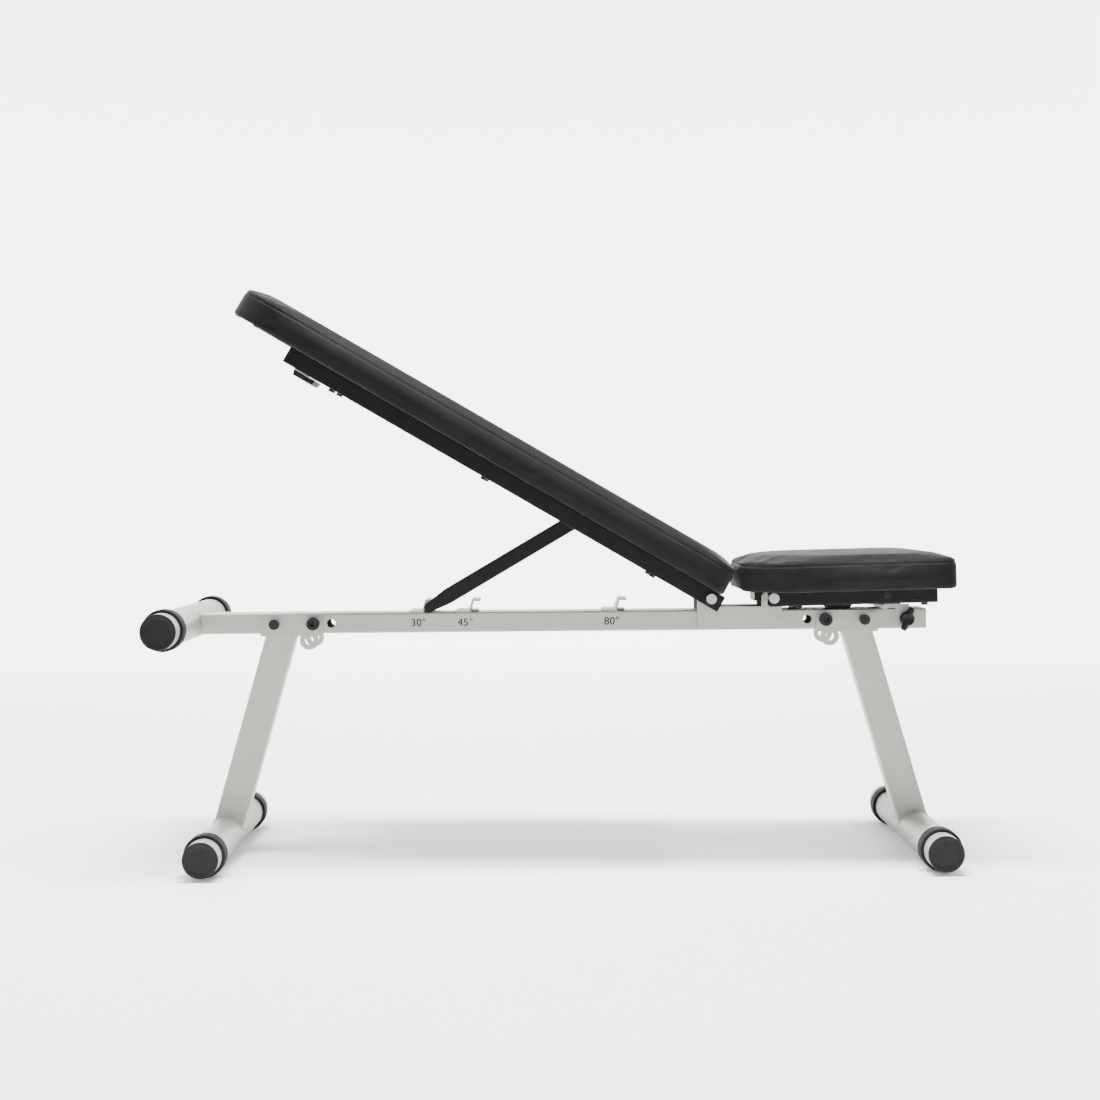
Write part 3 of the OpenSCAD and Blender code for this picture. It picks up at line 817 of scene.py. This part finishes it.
def sharpen(piece, angle=35):
    """Smooth shading with creases kept on edges sharper than the angle."""
    mesh = piece.data
    work = bmesh.new()
    work.from_mesh(mesh)
    limit = math.radians(angle)
    for edge in work.edges:
        edge.smooth = len(edge.link_faces) == 2 and edge.calc_face_angle(0) < limit
    work.to_mesh(mesh)
    work.free()


# ---------------------------------------------------------------- welds

LEG_TOP_OUT = 51 * MM               # a leg's top, outboard of its pivot
LEG_HALF = (22.5 * MM, 12.5 * MM)
WELD_STEP = 1.6 * MM
WELD_SIDES = 8
RIPPLE_SEED = 7


def weld_bead(name, paths, body, radius=1.7 * MM):
    """Rippled beads along closed or open paths of points, painted with the frame."""
    rng = random.Random(RIPPLE_SEED)
    parts = []
    for path in paths:
        vertices = []
        count = len(path)
        for i, point in enumerate(path):
            before, after = path[max(i - 1, 0)], path[min(i + 1, count - 1)]
            forward = (after - before).normalized()
            across = forward.orthogonal().normalized()
            up = forward.cross(across)
            size = radius * (0.86 + 0.2 * abs(math.sin(i * 0.9)) + rng.uniform(-0.05, 0.05))
            for k in range(WELD_SIDES):
                angle = 2 * math.pi * k / WELD_SIDES
                vertices.append(point + (across * math.cos(angle) + up * math.sin(angle)) * size)
        parts.append((vertices, tube_faces(count, WELD_SIDES)))
    vertices, faces = join_parts(parts)
    return add_mesh(name, vertices, faces, GREY, body)


def box_rim(half_u, half_v):
    """Points round a rectangle, evenly spaced, first point repeated at the end."""
    corners = [(-half_u, -half_v), (half_u, -half_v), (half_u, half_v), (-half_u, half_v)]
    points = []
    for k in range(4):
        a, b = Vector(corners[k]), Vector(corners[(k + 1) % 4])
        pieces = max(2, int((b - a).length / WELD_STEP))
        points += [a.lerp(b, i / pieces) for i in range(pieces)]
    return points + [points[0]]


def straight_path(start, end, steps):
    """Evenly spaced points on a line, both ends included."""
    return [start.lerp(end, k / steps) for k in range(steps + 1)]


def leg_welds():
    """Beads round each leg where it meets its foot tube and its bracket."""
    for prefix, body, out in (("front", "front_leg", -1), ("rear", "rear_leg", 1)):
        foot = centre(prefix + "_foot_tube")
        _, high = corners_of(prefix + "_leg_tube")
        pivot = joint_at(prefix + "_leg_fold")
        top = Vector((pivot.x + out * LEG_TOP_OUT, 0, high.z))
        along = (top - foot).normalized()
        across = Vector((along.z, 0, -along.x))
        path = []
        for point in box_rim(*LEG_HALF):
            base = foot + across * point.x + Vector((0, point.y, 0))
            reach = math.sqrt(max(TUBE_R ** 2 - point.x ** 2, 0))
            path.append(base + along * (reach + 0.3 * MM))
        weld_bead(prefix + "_foot_weld", [path], body)
        slope = 1 / along.z
        rim = [Vector((top.x + point.x * slope, point.y, high.z - 0.3 * MM))
               for point in box_rim(*LEG_HALF)]
        weld_bead(prefix + "_bracket_weld", [rim], body, 1.5 * MM)


def frame_welds():
    """Beads at the stand tube, under the hinge plates and behind the hooks."""
    stand = centre("stand_tube")
    path = []
    mid_z = (BEAM_LOW.z + BEAM_HIGH.z) / 2
    for point in box_rim(BEAM_HALF_W, BEAM_HALF_H):
        z = mid_z + point.y
        x = stand.x + math.sqrt(TUBE_R ** 2 - (z - stand.z) ** 2)
        path.append(Vector((x + 0.3 * MM, point.x, z)))
    weld_bead("stand_weld", [path], "frame")
    low, high = corners_of("hinge_plates")
    paths = []
    for side in (-1, 1):
        y, z = side * (BEAM_HALF_W + 0.4 * MM), low.z - 0.2 * MM
        paths.append(straight_path(Vector((low.x + 8 * MM, y, z)),
                                   Vector((high.x - 22 * MM, y, z)), 40))
    weld_bead("hinge_plate_welds", paths, "frame", 1.2 * MM)
    paths = []
    for hook in ("hook_30", "hook_45", "hook_80"):
        low, high = corners_of(hook)
        x, z = low.x - 0.2 * MM, BEAM_HIGH.z + 0.5 * MM
        paths.append(straight_path(Vector((x, low.y, z)), Vector((x, high.y, z)), 28))
    weld_bead("hook_welds", paths, "frame", 1.3 * MM)


# ---------------------------------------------------------------- wing knob

WING_TILT = math.radians(68)
WING_STATIONS, WING_SIDES = 10, 12
WING_SQUARE = 0.75                  # below 1 squares off a wing's oval section


def make_wing_knob():
    """A moulded hub with two swept wings, its face slightly dished."""
    low, high = corners_of("wing_knob")
    axis = joint_at("knob_turn")
    back, front = high.y, low.y
    hub = [(0, front + 3.2 * MM), (6.5 * MM, front + 3.0 * MM), (8.6 * MM, front + 2.0 * MM),
           (9.8 * MM, front + 2.8 * MM), (10.5 * MM, front + 4.4 * MM),
           (10.5 * MM, back - 1.4 * MM), (9.6 * MM, back - 0.3 * MM), (0, back - 0.3 * MM)]
    parts = [lathe_open_y(hub, Vector((axis.x, 0, axis.z)), 48)]
    lean_c, lean_s = math.cos(WING_TILT), math.sin(WING_TILT)
    for side in (-1, 1):
        vertices = []
        for i in range(WING_STATIONS):
            share = i / (WING_STATIONS - 1)
            reach = (6 + 12 * share) * MM
            width = (4.2 - 0.6 * share + 1.0 * math.sin(share * math.pi)) * MM
            deep = 5.2 * MM * math.sqrt(max(1 - (share * 0.92) ** 4, 0.02))
            middle_y = front + 5.4 * MM - 0.6 * MM * share
            for k in range(WING_SIDES):
                angle = 2 * math.pi * k / WING_SIDES
                c = math.copysign(abs(math.cos(angle)) ** WING_SQUARE, math.cos(angle))
                s = math.copysign(abs(math.sin(angle)) ** WING_SQUARE, math.sin(angle))
                u, v = side * reach, c * width
                vertices.append(Vector((axis.x + u * lean_c - v * lean_s, middle_y + s * deep,
                                        axis.z + u * lean_s + v * lean_c)))
        parts.append((vertices, tube_faces(WING_STATIONS, WING_SIDES)))
    vertices, faces = join_parts(parts)
    piece = add_mesh("wing_knob_grip", vertices, faces, KNOB, "knob")
    sharpen(piece, 50)
    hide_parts("wing_knob")


# ---------------------------------------------------------------- degree marks

MARK_SIZE = 16 * MM
MARK_UP = 14.5 * MM                 # middle of a mark, above the beam's lower face
MARK_OFF_HOOK = 22.5 * MM           # middle of a mark, towards the head end from its hook's tip
INK_THICK = 0.06 * MM
INK_SPREAD = 0.45 * MM              # each mark is laid twice, this far apart, to look bolder


def degree_marks():
    """Printed angle numbers on the beam, each just left of the hook that gives that angle."""
    for label in ("30", "45", "80"):
        _, high = corners_of("hook_" + label)
        curve = bpy.data.curves.new("mark_" + label, "FONT")
        curve.body = label + "°"
        curve.size = MARK_SIZE
        curve.extrude = INK_THICK
        curve.align_x = "CENTER"
        curve.align_y = "CENTER"
        curve.space_character = 1.05
        text = bpy.data.objects.new("mark_text_" + label, curve)
        bpy.context.scene.collection.objects.link(text)
        bpy.context.view_layer.update()
        graph = bpy.context.evaluated_depsgraph_get()
        mesh = bpy.data.meshes.new_from_object(text.evaluated_get(graph))
        bpy.data.objects.remove(text)
        bold = bmesh.new()
        bold.from_mesh(mesh)
        mesh.transform(Matrix.Translation((INK_SPREAD, 0, 0.01 * MM)))
        bold.from_mesh(mesh)
        bold.to_mesh(mesh)
        bold.free()
        place = Vector((high.x - MARK_OFF_HOOK, BEAM_LOW.y - 0.05 * MM, BEAM_LOW.z + MARK_UP))
        mesh.transform(Matrix.Translation(place) @ Matrix.Rotation(math.pi / 2, 4, "X"))
        piece = bpy.data.objects.new("degree_mark_" + label, mesh)
        bpy.context.scene.collection.objects.link(piece)
        finish_piece(piece, INK, "frame", smooth=False)


# ---------------------------------------------------------------- build

add_camera()
add_world(WORLD_LIGHT)
add_sweep()
add_area("top", **TOP_LIGHT)
dress_cad()
make_caps_and_rings()
leg_welds()
frame_welds()
make_wing_knob()
degree_marks()
make_cushions()
